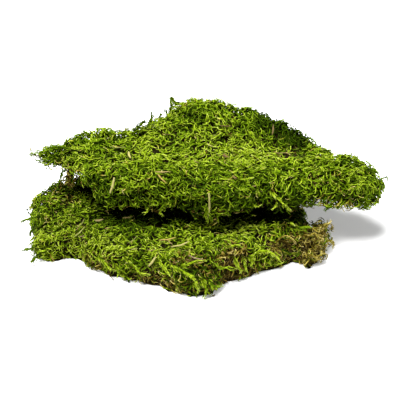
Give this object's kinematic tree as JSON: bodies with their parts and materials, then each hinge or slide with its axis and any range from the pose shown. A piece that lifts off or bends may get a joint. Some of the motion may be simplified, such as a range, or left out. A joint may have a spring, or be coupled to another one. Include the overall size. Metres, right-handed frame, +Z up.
{
  "type": "moss clump",
  "caption": "Clump of green sheet moss: a domed, ragged mat lying on a flatter one, with dry straws and needles caught on both.",
  "frame": {"origin": "middle of the clump's box, on the flat base it rests on", "axes": "+X along the clump, +Y away from its open front, +Z up"},
  "size_m": [0.261, 0.1674, 0.0741],
  "materials": {
    "moss": "matt, fine curled shoots, brown and dead in patches",
    "pale_straw": "dry, faintly shiny, streaked",
    "brown_needle": "dry, matt",
    "orange_stem": "dry, matt",
    "grey_twig": "rough bark"
  },
  "bodies": {
    "root": {"moss_mat_lower": "moss", "moss_mat_upper": "moss", "straw_on_lip": "pale_straw", "straw_upper_left": "pale_straw", "straw_lower_left": "pale_straw", "straw_front": "pale_straw", "pale_stick": "pale_straw", "leaf_scrap": "pale_straw", "spruce_needle_long": "brown_needle", "brown_needle_back": "brown_needle", "needle_under_lip": "brown_needle", "spruce_needle_short": "orange_stem", "orange_stem": "orange_stem", "bud_scale_rear": "orange_stem", "twig_front": "grey_twig", "bark_scrap": "grey_twig"}
  },
  "joints": []
}
